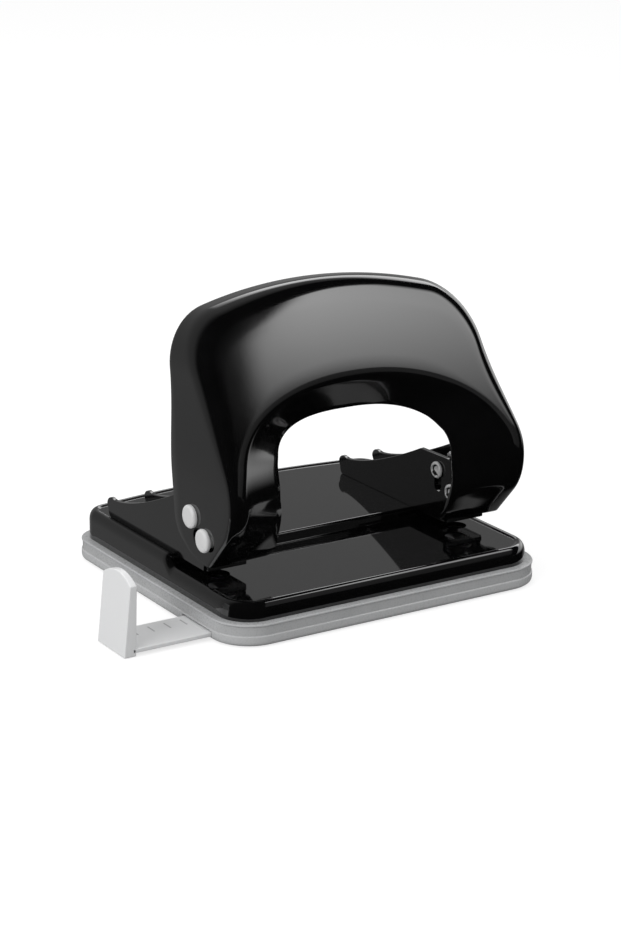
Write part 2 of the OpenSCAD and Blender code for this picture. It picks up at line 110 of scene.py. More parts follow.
def cutPlate(name, outline, thickness, lay):  # a flat outline with a thickness, laid by lay(a, b, depth)
    clearSelection()
    bpy.ops.mesh.primitive_circle_add(vertices=len(outline), radius=1, fill_type="NGON")
    piece = bpy.context.object
    piece.name = name
    placePoints(piece, [lay(a, b, 0) for a, b in outline])
    offset = Vector(lay(0, 0, thickness)) - Vector(lay(0, 0, 0))
    bpy.ops.object.mode_set(mode="EDIT")
    bpy.ops.mesh.select_all(action="SELECT")
    bpy.ops.mesh.extrude_region_move(TRANSFORM_OT_translate={"value": offset * mm})
    bpy.ops.object.mode_set(mode="OBJECT")
    tidyShell(piece)
    return piece


def joinPieces(name, pieces):
    activate(pieces[0])
    for other in pieces[1:]:
        other.select_set(True)
    if len(pieces) > 1:
        bpy.ops.object.join()
    pieces[0].name = name
    return pieces[0]


def boolean(piece, cutter, operation="DIFFERENCE"):
    modify(piece, "BOOLEAN", operation=operation, solver="EXACT", object=cutter)
    activate(cutter)
    bpy.ops.object.delete()


def crossRod(radius, x0, x1, y, z, sides=48):  # a rod along X, for holes
    clearSelection()
    bpy.ops.mesh.primitive_cylinder_add(vertices=sides, radius=radius * mm, depth=abs(x1 - x0) * mm,
                                        location=((x0 + x1) / 2 * mm, y * mm, z * mm),
                                        rotation=(0, math.radians(90), 0))
    bpy.ops.object.transform_apply(location=True, rotation=True, scale=True)
    return bpy.context.object


def uprightRod(radius, depth, x, y, z, sides):  # a rod along Z, for holes
    clearSelection()
    bpy.ops.mesh.primitive_cylinder_add(vertices=sides, radius=radius * mm, depth=depth * mm,
                                        location=(x * mm, y * mm, z * mm))
    bpy.ops.object.transform_apply(location=True, rotation=True, scale=True)
    return bpy.context.object


def block(x0, x1, y0, y1, z0, z1, name="block"):
    clearSelection()
    bpy.ops.mesh.primitive_cube_add(size=1)
    piece = bpy.context.object
    piece.name = name
    piece.scale = ((x1 - x0) * mm, (y1 - y0) * mm, (z1 - z0) * mm)
    piece.location = ((x0 + x1) / 2 * mm, (y0 + y1) / 2 * mm, (z0 + z1) / 2 * mm)
    bpy.ops.object.transform_apply(location=True, rotation=True, scale=True)
    return piece


def roundEdges(piece, width, segments=2, angle=40):
    modify(piece, "BEVEL", width=width * mm, segments=segments, limit_method="ANGLE",
           angle_limit=math.radians(angle), harden_normals=False)


def shade(piece, angle=35, weighted=True):
    activate(piece)
    bpy.ops.object.shade_smooth_by_angle(angle=math.radians(angle))
    if weighted:
        modify(piece, "WEIGHTED_NORMAL", mode="FACE_AREA", weight=60, keep_sharp=True)


def dress(piece, material):
    piece.data.materials.clear()
    piece.data.materials.append(material)


def seat(piece, body, material, nodes):
    dress(piece, material)
    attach(piece, body)
    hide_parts(*nodes)
    return piece


def smoothStep(t):
    t = min(1, max(0, t))
    return t * t * (3 - 2 * t)


# shader maths written as expressions

class Socket:
    def __init__(self, tree, link):
        self.tree, self.link = tree, link

    def maths(self, operation, *others):
        node = self.tree.nodes.new("ShaderNodeMath")
        node.operation = operation
        for place, value in zip(node.inputs, others):
            if isinstance(value, Socket):
                self.tree.links.new(value.link, place)
            else:
                place.default_value = value
        return Socket(self.tree, node.outputs[0])

    def __add__(self, other): return self.maths("ADD", self, other)
    def __radd__(self, other): return self.maths("ADD", other, self)
    def __sub__(self, other): return self.maths("SUBTRACT", self, other)
    def __rsub__(self, other): return self.maths("SUBTRACT", other, self)
    def __mul__(self, other): return self.maths("MULTIPLY", self, other)
    def __rmul__(self, other): return self.maths("MULTIPLY", other, self)
    def __gt__(self, other): return self.maths("GREATER_THAN", self, other)
    def __lt__(self, other): return self.maths("LESS_THAN", self, other)


class Finish:  # one material or world tree
    def __init__(self, owner):
        owner.use_nodes = True
        self.owner, self.tree = owner, owner.node_tree
        self.tree.nodes.clear()

    def node(self, kind, settings=None, output=0, **inputs):
        node = self.tree.nodes.new(kind)
        for key, value in (settings or {}).items():
            setattr(node, key, value)
        for key, value in inputs.items():
            place = node.inputs[int(key[2:])] if key.startswith("in") else node.inputs[key.replace("_", " ")]
            if isinstance(value, Socket):
                self.tree.links.new(value.link, place)
            else:
                place.default_value = value
        return Socket(self.tree, node.outputs[output])

    def ramp(self, value, stops):  # stops are (place, grey)
        node = self.tree.nodes.new("ShaderNodeValToRGB")
        marks = node.color_ramp.elements
        while len(marks) < len(stops):
            marks.new(0.5)
        for mark, (place, grey) in zip(marks, stops):
            mark.position = place
            mark.color = (grey, grey, grey, 1)
        self.tree.links.new(value.link, node.inputs[0])
        return Socket(self.tree, node.outputs[0])

    def mix(self, factor, first, second):  # of two colours
        node = self.tree.nodes.new("ShaderNodeMix")
        node.data_type = "RGBA"
        for place, value in ((node.inputs[0], factor), (node.inputs[6], first), (node.inputs[7], second)):
            if isinstance(value, Socket):
                self.tree.links.new(value.link, place)
            else:
                place.default_value = value if isinstance(value, (int, float)) else (*value, 1)
        return Socket(self.tree, node.outputs[2])

    def axes(self, vector):
        split = self.tree.nodes.new("ShaderNodeSeparateXYZ")
        self.tree.links.new(vector.link, split.inputs[0])
        return [Socket(self.tree, output) for output in split.outputs]

    def points(self, scale=(1, 1, 1)):  # object coordinates, in metres
        place = self.node("ShaderNodeTexCoord", output=3)
        return self.node("ShaderNodeMapping", Vector=place, Scale=scale)

    def smooth(self, value, low, high):  # 0 at low and 1 at high
        return self.node("ShaderNodeMapRange", {"interpolation_type": "SMOOTHSTEP"},
                         Value=value, From_Min=low, From_Max=high)

    def noise(self, size, detail=2.0, stretch=(1, 1, 1)):  # size is the width of one blot, in mm
        return self.node("ShaderNodeTexNoise", Vector=self.points(stretch),
                         Scale=1 / (size * mm), Detail=detail)

    def bump(self, height, depth):  # depth in mm
        return self.node("ShaderNodeBump", Height=height, Distance=depth * mm, Strength=1.0)

    def close(self, shader, kind="ShaderNodeOutputMaterial"):
        end = self.tree.nodes.new(kind)
        self.tree.links.new(shader.link, end.inputs[0])
        return self.owner


def newFinish(name):
    return Finish(bpy.data.materials.new(name))


# finishes, with the widths of their blots and the depths of their reliefs in mm

enamelLooks = {"colour": (0.0016, 0.0016, 0.0017), "worn": (0.0034, 0.0034, 0.0036),
               "speckSize": 7.0, "peelSize": 1.6, "dustSize": 0.35,
               "evenRough": 0.8, "speckRough": 0.4, "dustRough": 0.012, "coatRough": 0.5, "coatIOR": 1.5}


def blackEnamel(name, roughness, peel):
    looks = enamelLooks
    paint = newFinish(name)
    speck = paint.noise(looks["speckSize"], 3)
    colour = paint.mix(speck, looks["colour"], looks["worn"])
    dust = paint.noise(looks["dustSize"], 4)
    rough = (roughness * looks["evenRough"] + roughness * looks["speckRough"] * speck
             + looks["dustRough"] * dust)
    relief = paint.bump(paint.noise(looks["peelSize"], 1), peel)
    return paint.close(paint.node("ShaderNodeBsdfPrincipled", Base_Color=colour, Roughness=rough,
                                  Normal=relief, Coat_Weight=1.0,
                                  Coat_Roughness=roughness * looks["coatRough"], Coat_IOR=looks["coatIOR"]))


steelLooks = {"scratchSize": 0.5, "scratchStretch": (0.08, 1, 1), "scratchDepth": 0.004, "stainSize": 2.5,
              "stainShade": 0.86, "evenRough": 0.85, "scratchRough": 0.3}


def turnedSteel(name, roughness, colour, metallic=1.0):
    looks = steelLooks
    metal = newFinish(name)
    scratches = metal.noise(looks["scratchSize"], 3, looks["scratchStretch"])
    stain = metal.noise(looks["stainSize"], 3)
    tint = metal.mix(stain, colour, tuple(c * looks["stainShade"] for c in colour))
    rough = roughness * looks["evenRough"] + looks["scratchRough"] * roughness * scratches
    relief = metal.bump(scratches, looks["scratchDepth"])
    return metal.close(metal.node("ShaderNodeBsdfPrincipled", Base_Color=tint, Roughness=rough,
                                  Normal=relief, Metallic=metallic))


trayLooks = {"colour": (0.49, 0.495, 0.50), "deep": (0.39, 0.395, 0.40), "band": (0.505, 0.51, 0.515),
             "bandTop": 0.003, "cloudSize": 9, "grainSize": 0.5, "grainDepth": 0.004,
             "evenRough": 0.24, "grainRough": 0.08, "coat": 0.3, "coatRough": 0.12}


def mouldedTray():
    looks = trayLooks
    plastic = newFinish("cloudy grey plastic")
    cloud = plastic.noise(looks["cloudSize"], 3)
    height = plastic.axes(plastic.points())[2]
    colour = plastic.mix(cloud, looks["deep"], looks["colour"])
    colour = plastic.mix(height < looks["bandTop"], colour, looks["band"])
    grain = plastic.noise(looks["grainSize"], 2)
    return plastic.close(plastic.node("ShaderNodeBsdfPrincipled", Base_Color=colour,
                                      Roughness=looks["evenRough"] + looks["grainRough"] * grain,
                                      Normal=plastic.bump(grain, looks["grainDepth"]),
                                      Coat_Weight=looks["coat"], Coat_Roughness=looks["coatRough"]))


guideLooks = {"colour": (0.78, 0.785, 0.79), "tick": (0.45, 0.45, 0.46), "tickPitch": 0.005,
              "tickShare": 0.1, "tickFront": -0.0255, "tickRear": -0.0215, "stripTop": 0.003,
              "grainSize": 0.6, "grainDepth": 0.004, "evenRough": 0.3, "grainRough": 0.08}


def guidePlastic():
    looks = guideLooks
    plastic = newFinish("white guide plastic")
    along, across, height = plastic.axes(plastic.points())
    saw = plastic.node("ShaderNodeMath", {"operation": "FRACT"}, in0=along * (1 / looks["tickPitch"]))
    tick = (saw < looks["tickShare"]) * (height < looks["stripTop"])
    tick = tick * (across > looks["tickFront"]) * (across < looks["tickRear"])
    grain = plastic.noise(looks["grainSize"], 2)
    colour = plastic.mix(tick, looks["colour"], looks["tick"])
    return plastic.close(plastic.node("ShaderNodeBsdfPrincipled", Base_Color=colour,
                                      Roughness=looks["evenRough"] + looks["grainRough"] * grain,
                                      Normal=plastic.bump(grain, looks["grainDepth"])))


leverPaint = blackEnamel("black enamel on the lever", roughness=0.1, peel=0.0025)
platePaint = blackEnamel("black enamel on the base", roughness=0.05, peel=0.0012)
bracketPaint = blackEnamel("black enamel on the brackets", roughness=0.12, peel=0.002)
rivetMetal = turnedSteel("bright nickel", 0.42, (0.9, 0.9, 0.9), 0.25)
tailMetal = turnedSteel("rolled nickel", 0.3, (0.9, 0.9, 0.9), 0.45)
# near-black steel for the hollow inside each rolled rivet tail: painted shade in the recess
rivetHollowShade = turnedSteel("shaded rivet hollow", 0.4, (0.03, 0.03, 0.03), 0.6)
steel = turnedSteel("ground steel", 0.3, (0.62, 0.62, 0.63))
trayPlastic = mouldedTray()
whitePlastic = guidePlastic()
print("finishes made:", len(bpy.data.materials))


# base plate

plateShape = {"length": 100.0, "depth": 86.8, "rearBow": 5.0, "frontCorner": 9.4, "rearCorner": 6.4,
              "frontZ": 11.2, "throat": 3.1, "stopY": -4.6, "bottomZ": 6.3, "rimRise": 0.45,
              "rimWidth": 1.9, "shoulder": 2.9, "panelIn": 3.1, "sheet": 1.2, "holeRadius": 3.16,
              "stopFoot": 0.5, "stopEdge": 0.9, "stopBefore": 8, "stopAfter": 3, "climbBefore": 3.4,
              "climbLength": 4.6, "cornerSteps": 12, "rearSteps": 22, "wallSteps": 5, "shoulderSteps": 12,
              "sideSteps": 6, "stationGap": 0.5, "rearTurn": 80, "smoothAngle": 32,
              # inner slope of the rim, as (distance inwards, share of its height left)
              "rimSlope": ((0.25, 0.94), (0.5, 0.76), (0.72, 0.5), (0.9, 0.22), (1.07, 0.05), (1.2, 0.0))}
holeX, holeY = 40.0, -17.1
rearZ = plateShape["frontZ"] + plateShape["throat"]


def rearEdge(x, inset):
    shape = plateShape
    return shape["depth"] / 2 - inset + shape["rearBow"] * (1 - (x / (shape["length"] / 2)) ** 2)


def stepStations():  # (y, height of the sheet) along the sides, close together over the paper stop
    shape = plateShape
    y, low, high = shape["stopY"], shape["frontZ"], rearZ
    foot, edge = shape["stopFoot"], shape["stopEdge"]
    before, pitch = shape["stopBefore"], shape["stationGap"]
    slack = 0.02  # keeps neighbouring stations apart
    stations = [(y - before + pitch * k, low) for k in range(round((before - foot) / pitch))]
    for k in range(6):  # hollow fillet at the foot of the stop
        turn = math.radians(90 * k / 5)
        stations.append((y - foot + (foot - slack) * math.sin(turn), low + foot * (1 - math.cos(turn))))
    for k in range(7):  # rounded upper edge of the stop
        turn = math.radians(90 * k / 6)
        stations.append((y + edge - (edge - slack) * math.cos(turn), high - edge + edge * math.sin(turn)))
    return stations + [(y + shape["stopAfter"] / 2, high), (y + shape["stopAfter"], high)]


def planSide(inset):  # right half of the outline, from front to rear, as (x, y, sheet height)
    shape = plateShape
    a, b, steps = shape["length"] / 2 - inset, shape["depth"] / 2 - inset, shape["cornerSteps"]
    front, rear = max(1, shape["frontCorner"] - inset), max(1, shape["rearCorner"] - inset)
    turn = math.radians(shape["rearTurn"])
    xEnd = a - rear + rear * math.cos(turn)
    yMiddle = rearEdge(xEnd, inset) - rear * math.sin(turn)
    count, low = shape["sideSteps"], shape["frontZ"]
    stop = shape["stopY"] - shape["stopBefore"] - shape["stationGap"]
    past = shape["stopY"] + shape["stopAfter"]
    side = []
    for k in range(steps + 1):
        t = math.radians(-90 + 90 * k / steps)
        side.append((a - front + front * math.cos(t), -b + front + front * math.sin(t), low))
    side += [(a, -b + front + (stop + b - front) * k / count, low) for k in range(1, count)]
    side += [(a, y, z) for y, z in stepStations()]
    side += [(a, past + (yMiddle - past) * k / count, rearZ) for k in range(1, count)]
    for k in range(steps + 1):
        t = turn * k / steps
        side.append((a - rear + rear * math.cos(t), yMiddle + rear * math.sin(t), rearZ))
    for k in range(1, shape["rearSteps"]):
        x = xEnd * (1 - k / shape["rearSteps"])
        side.append((x, rearEdge(x, inset), rearZ))
    return side


def fullLoop(side):  # both halves, closed
    loop = side + [(-x, y, z) for x, y, z in reversed(side)]
    return loop + loop[:1]


def rimHeight(y):
    shape = plateShape
    climb = smoothStep((y - shape["stopY"] + shape["climbBefore"]) / shape["climbLength"])
    return shape["frontZ"] + shape["rimRise"] + shape["throat"] * climb


def rimLoop(inset, height):
    return [(x, y, height(y, z)) for x, y, z in fullLoop(planSide(inset))]


def makeBasePlate():
    shape = plateShape
    wide, tall, bottom = shape["rimWidth"], shape["shoulder"], shape["bottomZ"]
    rows = []
    for k in range(shape["wallSteps"]):
        share = k / shape["wallSteps"]
        rows.append(rimLoop(0.0, lambda y, z: bottom + (rimHeight(y) - tall - bottom) * share))
    for k in range(shape["shoulderSteps"] + 1):
        t = math.radians(90 * k / shape["shoulderSteps"])
        rows.append(rimLoop(wide * (1 - math.cos(t)), lambda y, z: rimHeight(y) - tall * (1 - math.sin(t))))
    for inset, share in shape["rimSlope"]:
        rows.append(rimLoop(wide + inset, lambda y, z: z + (rimHeight(y) - z) * share))
    rim = loftGrid("basePlate", rows)
    ladder = [[(-x, y, z), (x, y, z)] for x, y, z in planSide(shape["panelIn"])]
    panel = loftGrid("basePanel", ladder, outwards=False)
    plate = joinPieces("basePlate", [rim, panel])
    tidyShell(plate)
    # the shell is open below, so its faces are turned by the one that is largest, on the top
    if max(plate.data.polygons, key=lambda face: face.area).normal.z < 0:
        flipFaces(plate)
    modify(plate, "SOLIDIFY", thickness=shape["sheet"] * mm, offset=-1, use_even_offset=False)
    for s in (-1, 1):
        boolean(plate, uprightRod(shape["holeRadius"], 6, s * holeX, holeY,
                                  shape["frontZ"] - shape["sheet"] / 2, 64))
    shade(plate, shape["smoothAngle"])
    return seat(plate, "base", platePaint, ["base_plate"])


makeBasePlate()
print("base plate made")


# lever

leverShape = {"thickness": 1.4, "top": 87.6, "kneeZ": 35.1, "kneeAhead": 25.7, "kneeRadius": 16.0,
              "faceLean": 35.0, "shinLean": 41.7, "legDraw": 1.7, "topCorner": 16.0, "topCrown": 144.0,
              "creaseHalf": 44.3, "creaseTop": 63.3, "creasePower": 2.15, "creaseWidth": 1.8,
              "windowHalf": 28.4, "windowTop": 52.9, "windowPower": 2.6, "springLine": 39.3,
              "heelRadius": 9.3, "heelLean": 0.13, "heelDrop": 0.4, "heelUnder": 2.7, "heelTuck": 10,
              "crownHeight": 22, "crownSweep": 3, "flangeOut": 48.5, "foot": 17.3, "foldGrowth": 4,
              "edgeRound": 0.35, "smoothAngle": 38, "legSteps": 26, "archSteps": 76,
              "flangeSteps": 8, "foldSteps": 12, "faceSteps": 6, "creaseSteps": 7, "lipSteps": 6,
              "driveHole": 2.48, "slotRadius": 2.53, "slotFront": 9.6, "slotRear": 3.5, "holeReach": (44, 51),
              # depth of the lip behind the face, by height
              "lipDepth": ((17.3, 1.2), (19.9, 1.2), (22.9, 3), (26.9, 5.2), (34.9, 8.2), (45.3, 8.8),
                           (52.9, 12.4))}
driveZ, pivotY, pivotZ = 29.3, -24.1, 24.4


def frontY(z):  # front of the lever at a height: face, knee arc and shin
    shape = leverShape
    lean, shin = math.radians(shape["faceLean"]), math.radians(shape["shinLean"])
    reach = shape["kneeRadius"] * math.tan((lean + shin) / 2)
    kneeY = holeY - shape["kneeAhead"]
    faceStart = shape["kneeZ"] + reach * math.cos(lean)
    shinEnd = shape["kneeZ"] - reach * math.cos(shin)
    arcY = kneeY + reach * math.sin(lean) + shape["kneeRadius"] * math.cos(lean)
    arcZ = faceStart - shape["kneeRadius"] * math.sin(lean)
    if z > faceStart:
        return kneeY + (z - shape["kneeZ"]) * math.tan(lean)
    if z < shinEnd:
        return kneeY + (shape["kneeZ"] - z) * math.tan(shin)
    return arcY - math.sqrt(shape["kneeRadius"] ** 2 - (z - arcZ) ** 2)


def heelY(z):  # rear edge of the flanges
    shape = leverShape
    heel, crown = shape["heelRadius"], shape["crownHeight"]
    low = driveZ - heel + shape["heelDrop"]
    if z > driveZ:
        return (holeY + heel + (z - driveZ) * shape["heelLean"]
                + max(0, (z - shape["top"] + crown) / crown) ** 2 * shape["crownSweep"])
    if z > low:
        return holeY + math.sqrt(heel * heel - (z - driveZ) ** 2)
    return holeY + shape["heelUnder"] - shape["heelTuck"] * ((low - z) / (low - shape["foot"])) ** 2


def lookUp(z, table):
    for (z0, d0), (z1, d1) in zip(table, table[1:]):
        if z <= z1:
            return d0 + (d1 - d0) * max(0, z - z0) / (z1 - z0)
    return table[-1][1]


def oval(t, half, rise, power):
    return ((math.cos(t) / half) ** power + (math.sin(t) / rise) ** power) ** (-1 / power)


def rayCircle(t, cx, cz, r):  # distance along a ray at angle t to the far side of a circle
    b = cx * math.cos(t) + cz * math.sin(t)
    return b + math.sqrt(b * b - cx * cx - cz * cz + r * r)


def outerReach(t):  # distance of the outline from the middle of the spring line
    shape = leverShape
    sideIn = shape["flangeOut"] - shape["legDraw"]
    cornerX = sideIn - shape["topCorner"]
    crownC = shape["top"] - shape["springLine"] - shape["topCrown"]
    cornerZ = crownC + math.sqrt((shape["topCrown"] - shape["topCorner"]) ** 2 - cornerX ** 2)
    grow = shape["topCrown"] / (shape["topCrown"] - shape["topCorner"])
    crownJoin = math.atan2(crownC + (cornerZ - crownC) * grow, cornerX * grow)
    sideJoin = math.atan2(cornerZ, sideIn)
    if t > crownJoin:
        return rayCircle(t, 0, crownC, shape["topCrown"])
    if t > sideJoin:
        return rayCircle(t, cornerX, cornerZ, shape["topCorner"])
    return (shape["flangeOut"] - shape["legDraw"] * smoothStep(t / sideJoin)) / math.cos(t)


def softCorner(before, corner, after, steps):
    return [before.lerp(corner, k / steps).lerp(corner.lerp(after, k / steps), k / steps)
            for k in range(steps + 1)]


def crossSection(a, b, c, d, fold):  # rear edge, fold, crease and lip edge
    shape = leverShape
    crease, flange = shape["creaseWidth"], shape["flangeSteps"]
    face, lip = shape["faceSteps"], shape["lipSteps"]
    a, b, c, d = Vector(a), Vector(b), Vector(c), Vector(d)
    foldIn, foldOut = b + (a - b).normalized() * fold, b + (c - b).normalized() * fold
    creaseIn, creaseOut = c + (b - c).normalized() * crease, c + (d - c).normalized() * crease
    row = [a.lerp(foldIn, k / flange) for k in range(flange)]
    row += softCorner(foldIn, b, foldOut, shape["foldSteps"])
    row += [foldOut.lerp(creaseIn, k / face) for k in range(1, face)]
    row += softCorner(creaseIn, c, creaseOut, shape["creaseSteps"])
    row += [creaseOut.lerp(d, k / lip) for k in range(1, lip + 1)]
    return [tuple(p) for p in row]


def legSection(z, fold):
    shape = leverShape
    side, y = shape["flangeOut"], frontY(z)
    return crossSection((side, heelY(z), z), (side, y, z), (shape["creaseHalf"], y, z),
                        (shape["windowHalf"], y + lookUp(z, shape["lipDepth"]), z), fold)


def archSection(t, fold):
    shape = leverShape
    line, across, up = shape["springLine"], math.cos(t), math.sin(t)
    reach = outerReach(t)
    crease = oval(t, shape["creaseHalf"], shape["creaseTop"] - line, shape["creasePower"])
    window = oval(t, shape["windowHalf"], shape["windowTop"] - line, shape["windowPower"])
    zb, zc, zd = line + reach * up, line + crease * up, line + window * up
    return crossSection((reach * across, heelY(zb), zb - shape["thickness"] * up),
                        (reach * across, frontY(zb), zb), (crease * across, frontY(zc), zc),
                        (window * across, frontY(zd) + lookUp(zd, shape["lipDepth"]), zd), fold)


def makeLever():
    shape = leverShape
    legFold = shape["flangeOut"] - shape["creaseHalf"] - shape["creaseWidth"] - 0.2
    half = []
    for k in range(shape["legSteps"]):
        z = shape["foot"] + (shape["springLine"] - shape["foot"]) * (k / shape["legSteps"]) ** 1.1
        half.append(legSection(z, legFold))
    for k in range(shape["archSteps"] + 1):
        degrees = 90 * k / shape["archSteps"]
        grown = smoothStep(degrees / 30) * (1 - 0.5 * smoothStep((degrees - 45) / 45))
        half.append(archSection(math.radians(degrees), legFold + shape["foldGrowth"] * grown))
    rows = half + [[(-x, y, z) for x, y, z in row] for row in reversed(half[:-1])]
    lever = loftGrid("lever", rows, outwards=False)
    faceMiddle = Vector((0, -0.016, 0.073))
    face = min(lever.data.polygons, key=lambda f: (f.center - faceMiddle).length)
    if face.normal.y > 0:
        flipFaces(lever)
    modify(lever, "SOLIDIFY", thickness=shape["thickness"] * mm, offset=-1, use_even_offset=True)
    roundEdges(lever, shape["edgeRound"], 3, 50)
    wide, y0, y1 = shape["slotRadius"], holeY - shape["slotFront"], holeY - shape["slotRear"]
    for s in (-1, 1):
        near, far = (s * x for x in shape["holeReach"])
        boolean(lever, crossRod(shape["driveHole"], near, far, holeY, driveZ))
        boolean(lever, joinPieces("pivotSlot", [crossRod(wide, near, far, y, pivotZ) for y in (y0, y1)]))
        boolean(lever, block(min(near, far), max(near, far), y0, y1, pivotZ - wide, pivotZ + wide))
    shade(lever, shape["smoothAngle"], weighted=False)
    return seat(lever, "lever", leverPaint, ["lever"])


makeLever()
print("lever made")


# brackets

bracketShape = {"width": 13.6, "sheet": 1.4, "wing": 52.0, "nose": 10.6, "height": 19.4, "tipHeight": 5.9,
                "chin": 2.7, "earRadius": 2.3, "noseRadius": 7.0, "footRadius": 7.0, "crestBack": 9,
                "crestSteps": 26, "webFront": 4.8, "stroke": 4.848, "pinHole": 3.08, "pivotHole": 1.6,
                "driveSlot": 1.68, "edgeRound": 0.22}


def arcPoints(cy, cz, r, start, end, steps, squeeze=1.0):
    return [(cy + r * math.cos(math.radians(start + (end - start) * k / steps)) * squeeze,
             cz + r * math.sin(math.radians(start + (end - start) * k / steps))) for k in range(steps + 1)]


def wallOutline():  # as (y, z) from the hole and the foot
    shape = bracketShape
    ear, nose, foot = shape["earRadius"], shape["noseRadius"], shape["footRadius"]
    tip, count = shape["wing"] - 2 * ear, shape["crestSteps"]
    fall, climb = tip - shape["crestBack"], shape["height"] - shape["tipHeight"]
    outline = arcPoints(shape["wing"] - ear, ear, ear, -90, 0, 10, 0.6)
    outline += arcPoints(shape["wing"] - ear * 1.1, shape["tipHeight"] - ear, ear, 0, 110, 14)
    outline += [(tip - fall * k / count, shape["tipHeight"] - 0.3 + climb * (k / count) ** 1.4)
                for k in range(count + 1)]
    outline += arcPoints(-shape["nose"] + nose, shape["height"] - nose, nose, 90, 180, 16)
    outline += arcPoints(-shape["nose"] + foot, shape["chin"] + foot, foot, 180, 270, 14)
    outline.append((-shape["nose"] + foot, 0))
    clean = []
    for point in outline:
        if not clean or math.dist(point, clean[-1]) > 0.05:
            clean.append(point)
    return clean


def makeBracket(s, name, node):
    shape = bracketShape
    half, sheet, slot = shape["width"] / 2, shape["sheet"], shape["driveSlot"]
    walls = []
    for x in (-half, half - sheet):
        walls.append(cutPlate(name, wallOutline(), sheet,
                              lambda a, b, depth: (s * holeX + x + depth, holeY + a, rearZ + b)))
    web = block(s * holeX - half + sheet / 2, s * holeX + half - sheet / 2, holeY - shape["webFront"],
                holeY + shape["wing"] - 2 * shape["earRadius"], rearZ, rearZ + sheet)
    for piece in walls + [web]:
        roundEdges(piece, shape["edgeRound"], 2)
    x0, x1 = s * holeX - half - 1, s * holeX + half + 1
    low = driveZ - shape["stroke"]
    for wall in walls:
        boolean(wall, crossRod(shape["pivotHole"], x0, x1, pivotY, pivotZ, 40))
        boolean(wall, crossRod(slot, x0, x1, holeY, driveZ, 40))
        boolean(wall, crossRod(slot, x0, x1, holeY, low, 40))
        boolean(wall, block(x0, x1, holeY - slot, holeY + slot, low, driveZ))
    boolean(web, uprightRod(shape["pinHole"], 4, s * holeX, holeY, rearZ + sheet / 2, 48))
    bracket = joinPieces(name, walls + [web])
    shade(bracket, 35)
    return seat(bracket, "base", bracketPaint, [node])


makeBracket(-1, "leftBracket", "left_bracket")
makeBracket(1, "rightBracket", "right_bracket")
print("brackets made")


# rivets

rivetShape = {"headRadius": 3.3, "headHeight": 1.3, "headRound": 0.85, "seat": 0.08, "journal": 1.62,
              "journalRadius": 2.4, "shankRadius": 1.6, "grip": 15.3, "hollowRadius": 1.62, "lobe": 0.2,
              "tailX": 33.3, "sides": 48,
              # rolled tail and hollow, as (distance past the grip, radius, how lobed)
              "tail": ((0.02, 2.1, 0), (0.12, 2.32, 0), (0.35, 2.43, 0), (0.6, 2.45, 0), (0.85, 2.36, 0),
                       (1.02, 2.18, 0), (1.1, 1.95, 0.2), (1.07, 1.74, 0.6), (0.92, 1.56, 1), (0.7, 1.42, 1),
                       (0.3, 1.3, 1), (-0.6, 1.15, 1), (-1.6, 0.9, 1), (-1.8, 0.0, 0))}


def rivetProfile():  # (distance inwards from the lever's side, radius, how lobed the ring is)
    shape = rivetShape
    low, reach, bend = -shape["seat"] - shape["headHeight"], shape["headRadius"], shape["headRound"]
    profile = [(low, 0.0, 0), (low, 0.9, 0), (low + 0.02, 1.7, 0)]
    for k in range(8):
        t = math.radians(90 * k / 7)
        profile.append((low + 0.05 + bend * (1 - math.cos(t)), reach - bend + bend * math.sin(t), 0))
    profile += [(-shape["seat"], reach - 0.02, 0), (-shape["seat"], shape["journalRadius"], 0),
                (shape["journal"], shape["journalRadius"], 0), (shape["journal"], shape["shankRadius"], 0),
                (shape["grip"] + 0.02, shape["shankRadius"], 0)]
    return profile + [(shape["grip"] + past, radius, lobed) for past, radius, lobed in shape["tail"]]


def makeRivet(s, y, z, name, node, body):  # head outwards on the lever, rolled tail inside the bracket
    shape = rivetShape
    side, count = leverShape["flangeOut"], shape["sides"]
    rows = []
    for k in range(count + 1):
        turn = 2 * math.pi * (k % count) / count
        row = []
        for along, radius, lobed in rivetProfile():
            r = radius * (1 + shape["lobe"] * lobed * math.cos(3 * turn))
            row.append((s * (side - along), y + r * math.cos(turn), z + r * math.sin(turn)))
        rows.append(row)
    rivet = loftGrid(name, rows)
    shade(rivet, 40)
    seat(rivet, body, rivetMetal, [node])
    rivet.data.materials.append(tailMetal)
    rivet.data.materials.append(rivetHollowShade)
    # faces on the tail take the rolled nickel, and those inside its hollow the near-black steel, which is
    # painted shade
    for face in rivet.data.polygons:
        if abs(face.center.x) < shape["tailX"] * mm:
            reach = math.dist(face.center[1:], (y * mm, z * mm))
            face.material_index = 2 if reach < shape["hollowRadius"] * mm else 1
    return rivet


for side, s in (("left", -1), ("right", 1)):
    makeRivet(s, pivotY, pivotZ, side + "PivotRivet", side + "_pivot_rivet", "base")
    makeRivet(s, holeY, driveZ, side + "DriveRivet", side + "_drive_rivet", "punch_set")
print("rivets made")


# return springs

springShape = {"foot": 15.7, "top": 27.1, "wire": 0.9, "turns": 4.5, "footWidth": 10.2, "topWidth": 8.6,
               "travel": 4.868, "sides": 12, "steps": 36}


